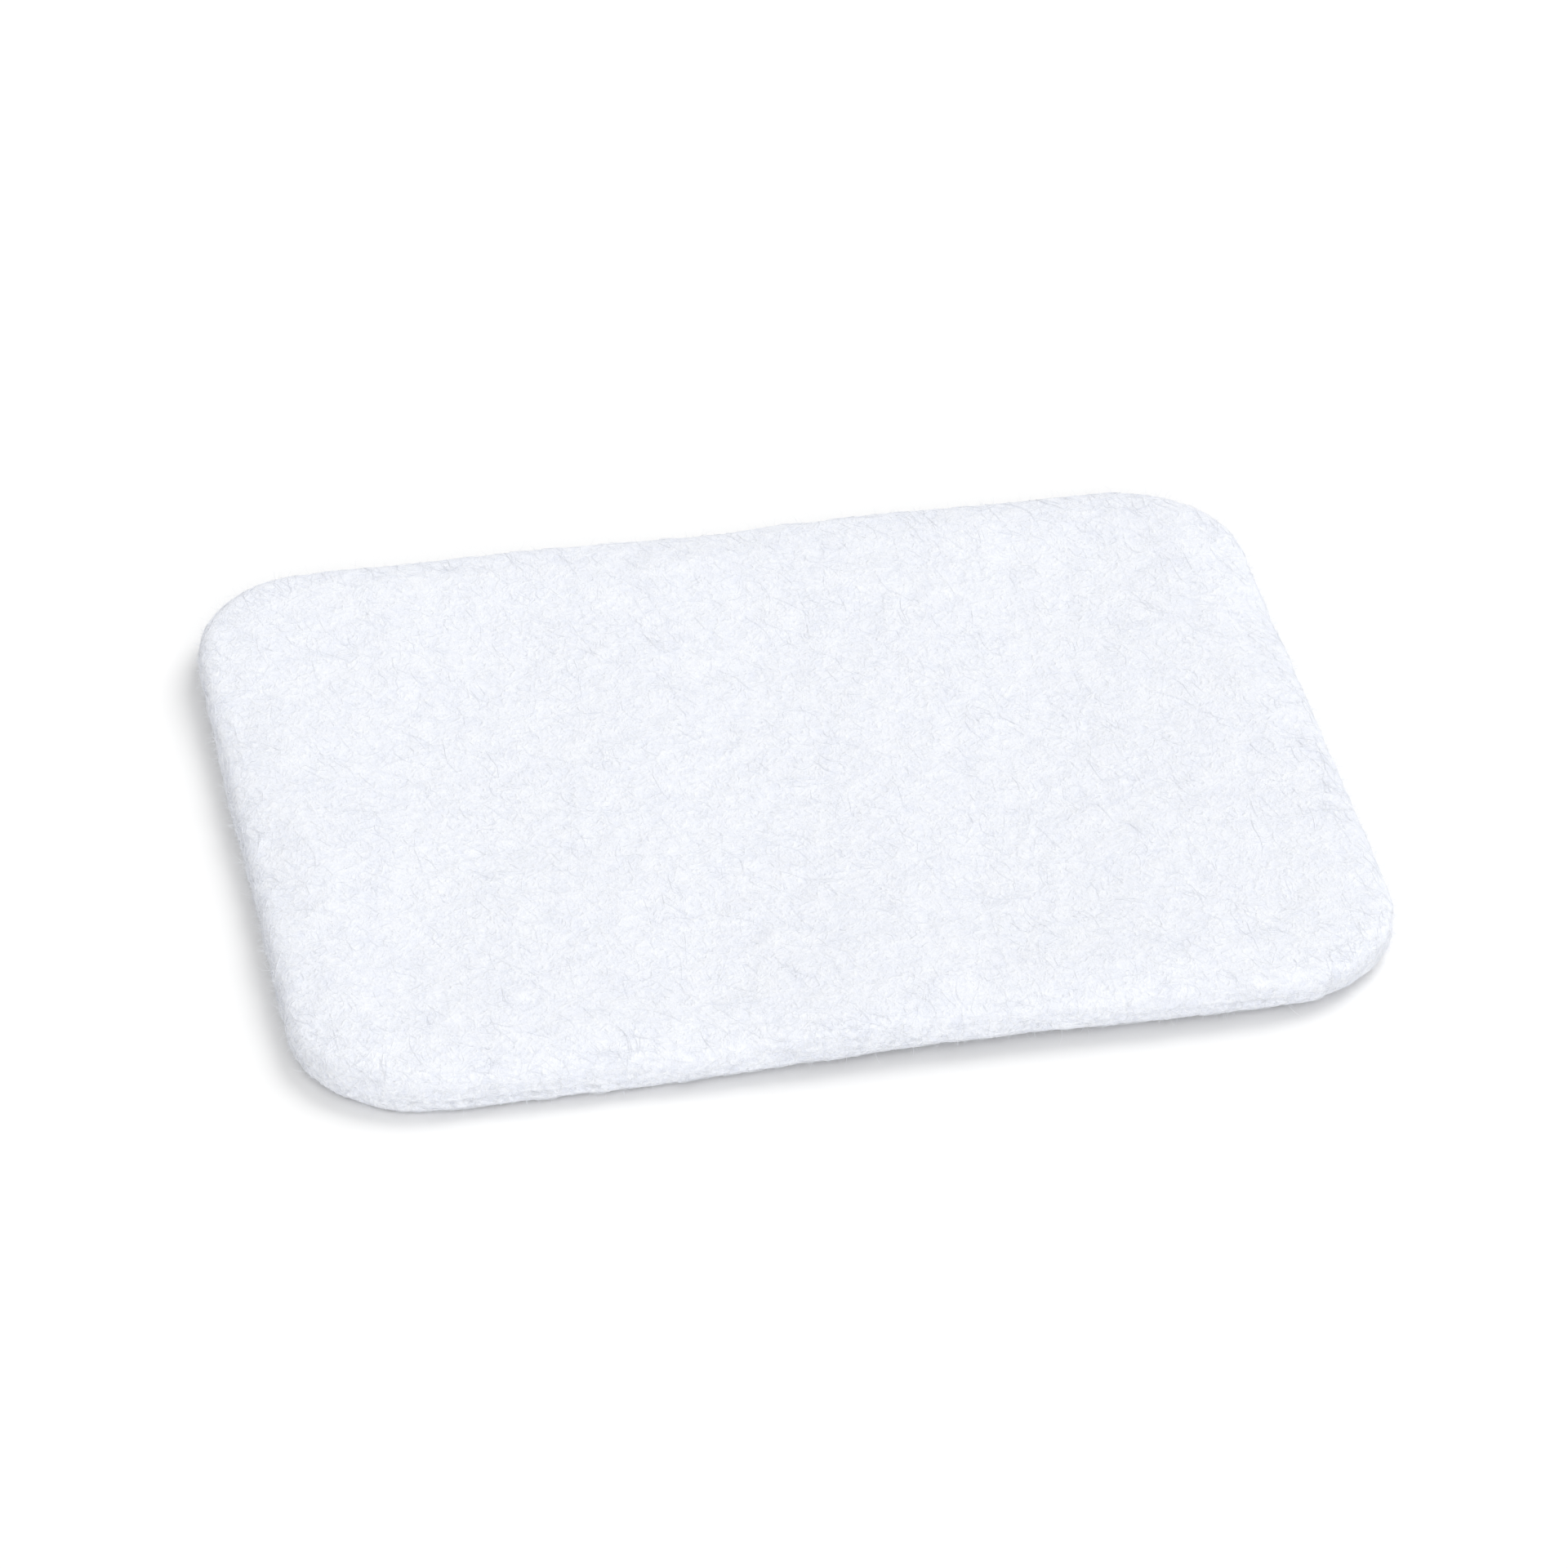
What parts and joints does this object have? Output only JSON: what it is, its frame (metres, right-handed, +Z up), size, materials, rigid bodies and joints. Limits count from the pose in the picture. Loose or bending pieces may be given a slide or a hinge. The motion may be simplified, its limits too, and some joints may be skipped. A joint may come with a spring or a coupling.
{
  "type": "cotton pad",
  "caption": "Rounded rectangular cosmetic pad of pressed cotton web, lying flat, with a soft pinched rim, a faintly creased cut edge and a slight curl.",
  "frame": {"origin": "on the surface under the middle of the pad, at the flat middle of its underside", "axes": "+Z up through the thickness, +X along the long side, +Y along the short side, away from the viewer"},
  "size_m": [0.1, 0.08, 0.0044],
  "materials": {
    "cotton": "matt, soft and fibrous, bleached cool white"
  },
  "bodies": {
    "root": {"pad": "cotton"}
  },
  "joints": []
}
